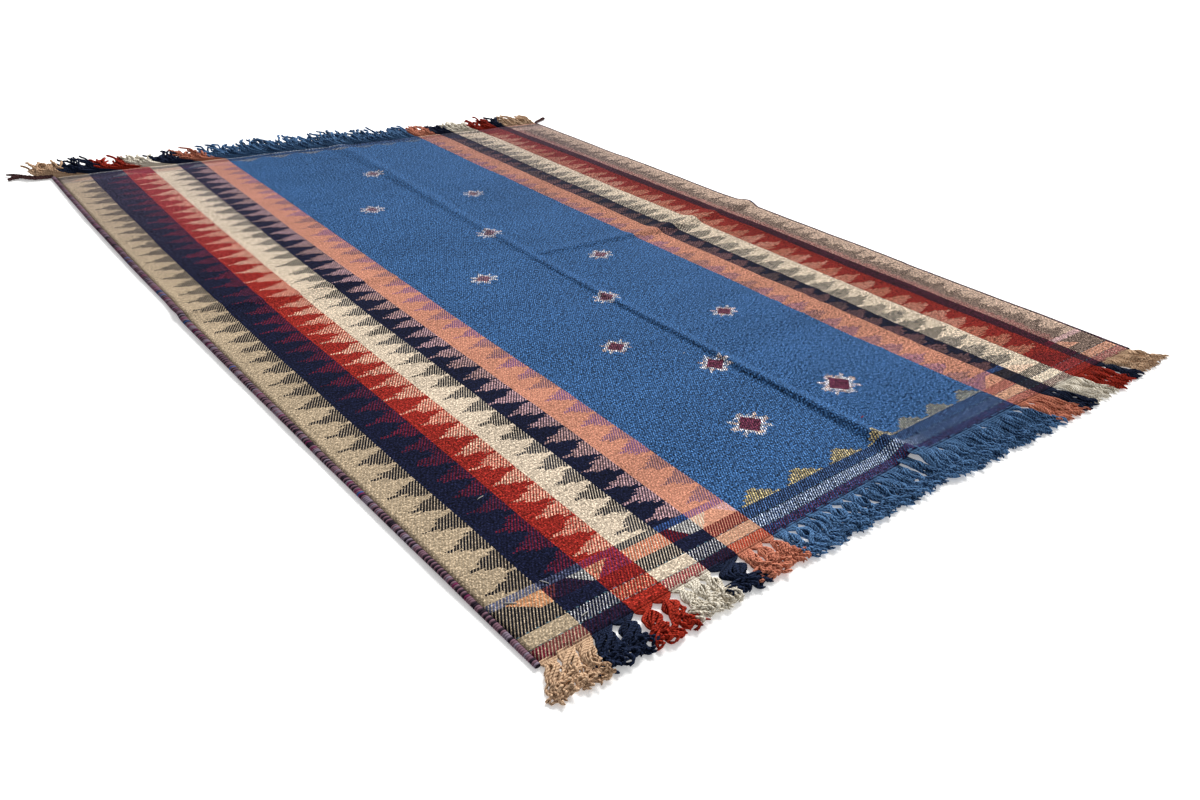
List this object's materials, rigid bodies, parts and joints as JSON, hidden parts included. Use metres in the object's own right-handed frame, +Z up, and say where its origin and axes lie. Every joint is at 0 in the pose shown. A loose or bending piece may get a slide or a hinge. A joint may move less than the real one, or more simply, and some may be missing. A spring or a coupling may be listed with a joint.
{
  "type": "striped flat-woven rug",
  "caption": "Flat-woven wool rug with lengthwise stripes, wrapped side cords and fringed ends, lying open on the floor with soft fold creases.",
  "frame": {"origin": "middle of the rug's outline, fringes included, on the floor it lies on", "axes": "+X across the rug, +Y along it from the end with the cross bands to the hemmed end, +Z up"},
  "size_m": [1.5354, 2.048, 0.022],
  "materials": {
    "weave": "matte",
    "edge_cord": "matte",
    "beige_yarn": "matte",
    "navy_yarn": "matte",
    "red_yarn": "matte",
    "white_yarn": "matte",
    "salmon_yarn": "matte",
    "blue_yarn": "matte"
  },
  "bodies": {
    "root": {"cord_tail_left": "edge_cord", "cord_tail_right": "edge_cord", "edge_cord_left": "edge_cord", "edge_cord_right": "edge_cord", "fringe_far_beige_left": "beige_yarn", "fringe_far_beige_right": "beige_yarn", "fringe_far_blue": "blue_yarn", "fringe_far_navy_inner": "navy_yarn", "fringe_far_navy_left": "navy_yarn", "fringe_far_navy_narrow": "navy_yarn", "fringe_far_navy_right": "navy_yarn", "fringe_far_red_left": "red_yarn", "fringe_far_red_right": "red_yarn", "fringe_far_salmon_left": "salmon_yarn", "fringe_far_salmon_right": "salmon_yarn", "fringe_far_white_left": "white_yarn", "fringe_far_white_right": "white_yarn", "fringe_near_beige_left": "beige_yarn", "fringe_near_beige_right": "beige_yarn", "fringe_near_blue": "blue_yarn", "fringe_near_navy_inner": "navy_yarn", "fringe_near_navy_left": "navy_yarn", "fringe_near_navy_narrow": "navy_yarn", "fringe_near_navy_right": "navy_yarn", "fringe_near_red_left": "red_yarn", "fringe_near_red_right": "red_yarn", "fringe_near_salmon_left": "salmon_yarn", "fringe_near_salmon_right": "salmon_yarn", "fringe_near_white_left": "white_yarn", "fringe_near_white_right": "white_yarn", "rug_body": "weave"}
  },
  "joints": []
}
